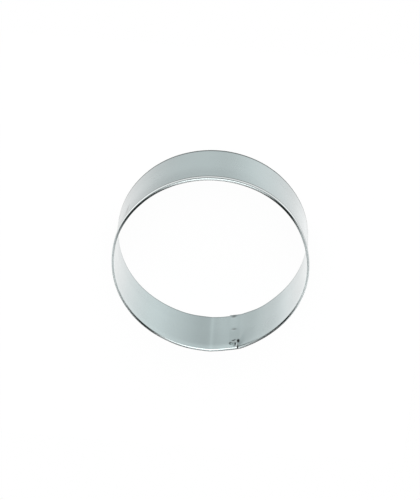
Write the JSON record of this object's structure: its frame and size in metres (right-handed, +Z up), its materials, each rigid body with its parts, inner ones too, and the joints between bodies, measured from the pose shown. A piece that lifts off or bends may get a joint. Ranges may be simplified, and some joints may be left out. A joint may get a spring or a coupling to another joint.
{
  "type": "biscuit cutter",
  "caption": "Plain round cutter ring of thin sheet steel, open at both ends, with its top edge hemmed outwards and its ends lapped and spot welded.",
  "frame": {"origin": "on the ring's axis, at the level of the cutting edge that the cutter stands on", "axes": "+Z up along the ring's axis from the cutting edge to the hem, +Y from the axis to the welded lap, +X to the right of it as seen from -Y"},
  "size_m": [0.0762, 0.0766, 0.025],
  "materials": {
    "strip_steel": "satin rolled sheet, bright on the folded rim",
    "weld_metal": "dull fused metal with a pressed electrode mark"
  },
  "bodies": {
    "root": {"cutter_strip": "strip_steel", "weld_nugget_upper": "weld_metal", "weld_nugget_middle": "weld_metal", "weld_nugget_lower": "weld_metal"}
  },
  "joints": []
}
